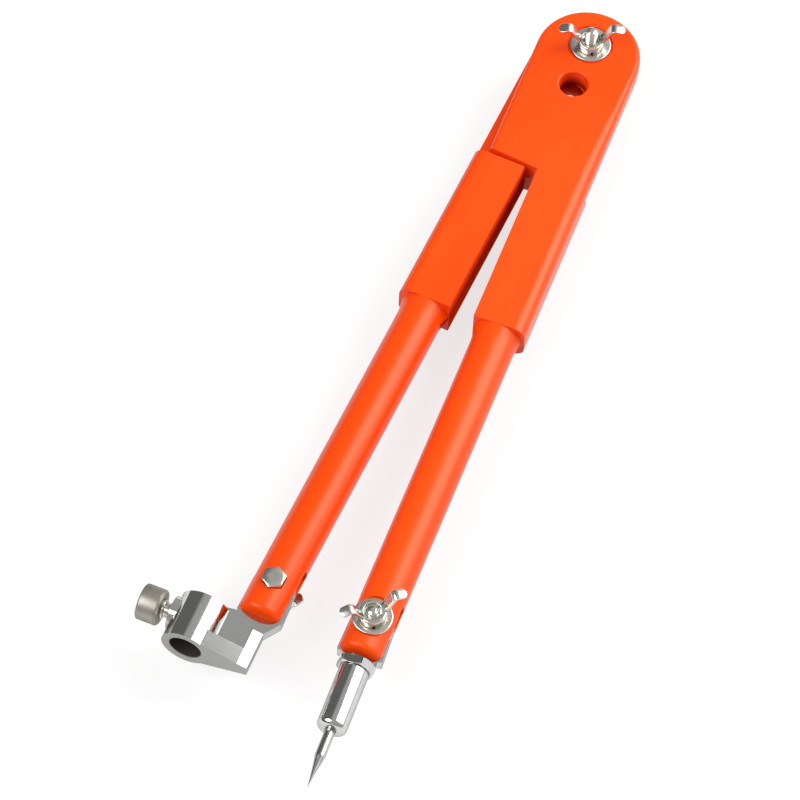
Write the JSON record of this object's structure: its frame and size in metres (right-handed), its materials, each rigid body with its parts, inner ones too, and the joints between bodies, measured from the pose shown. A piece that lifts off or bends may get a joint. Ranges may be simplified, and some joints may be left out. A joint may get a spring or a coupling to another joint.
{
  "type": "two-legged pencil compass",
  "caption": "Hinged two-legged compass with a steel needle on one leg and a pencil clamp on the other, each on a clamped knee",
  "frame": {"origin": "axis of the hang hole in the head, at the parting plane between the two head plates", "axes": "+Y along the needle leg from the needle to the head, +Z out of the front face, +X towards the needle leg's side"},
  "size_m": [0.0929, 0.3499, 0.0403],
  "materials": {
    "orange_plastic": "semi-gloss moulded",
    "chrome_casting": "polished plated",
    "zinc_steel": "bright zinc plated",
    "nickel_knob": "satin nickel",
    "needle_steel": "ground bright"
  },
  "bodies": {
    "needle_leg": {"needle_leg": "orange_plastic", "pivot_washer": "zinc_steel", "pivot_spring_washer": "zinc_steel", "needle_knee_bolt": "zinc_steel", "needle_knee_washer": "zinc_steel", "needle_knee_spring_washer": "zinc_steel"},
    "pencil_leg": {"pencil_leg": "orange_plastic", "pivot_bolt": "zinc_steel", "pivot_back_washer": "zinc_steel", "pencil_knee_bolt": "zinc_steel", "pencil_knee_washer": "zinc_steel", "pencil_knee_spring_washer": "zinc_steel"},
    "pivot_wing_nut": {"pivot_wing_nut": "zinc_steel"},
    "needle_holder": {"needle_holder": "chrome_casting", "needle": "needle_steel"},
    "needle_sleeve": {"needle_sleeve": "chrome_casting"},
    "needle_knee_wing_nut": {"needle_knee_wing_nut": "zinc_steel"},
    "pencil_holder": {"pencil_holder": "chrome_casting"},
    "pencil_knee_wing_nut": {"pencil_knee_wing_nut": "zinc_steel"},
    "thumb_screw": {"thumb_screw": "zinc_steel", "thumb_screw_knob": "nickel_knob"}
  },
  "joints": [
    {"name": "leg_hinge", "type": "hinge", "parent": "needle_leg", "child": "pencil_leg", "pos_m": [0, 0.0196, 0], "axis": [0, 0, -1], "range_deg": [-4.08, 175.92]},
    {"name": "pivot_nut_turn", "type": "hinge", "parent": "pencil_leg", "child": "pivot_wing_nut", "pos_m": [0, 0.0196, 0], "axis": [0, 0, 1], "continuous": true},
    {"name": "needle_knee", "type": "hinge", "parent": "needle_leg", "child": "needle_holder", "pos_m": [0.01, -0.2454, 0], "axis": [0, 0, 1], "range_deg": [-2.7, 88.8]},
    {"name": "needle_nut_turn", "type": "hinge", "parent": "needle_leg", "child": "needle_knee_wing_nut", "pos_m": [0.01, -0.2454, 0], "axis": [0, 0, 1], "continuous": true},
    {"name": "needle_sleeve_turn", "type": "hinge", "parent": "needle_holder", "child": "needle_sleeve", "pos_m": [0.01, -0.2454, 0], "axis": [0.0209, -0.9998, 0], "continuous": true},
    {"name": "pencil_knee", "type": "hinge", "parent": "pencil_leg", "child": "pencil_holder", "pos_m": [-0.02883, -0.24402, 0], "axis": [0, 0, -1], "range_deg": [-1, 92.2]},
    {"name": "pencil_nut_turn", "type": "hinge", "parent": "pencil_leg", "child": "pencil_knee_wing_nut", "pos_m": [-0.02883, -0.24402, 0], "axis": [0, 0, 1], "continuous": true},
    {"name": "thumb_screw_travel", "type": "slide", "parent": "pencil_holder", "child": "thumb_screw", "axis": [0.9995, -0.0328, 0], "range_m": [-0.004, 0.0026]}
  ]
}
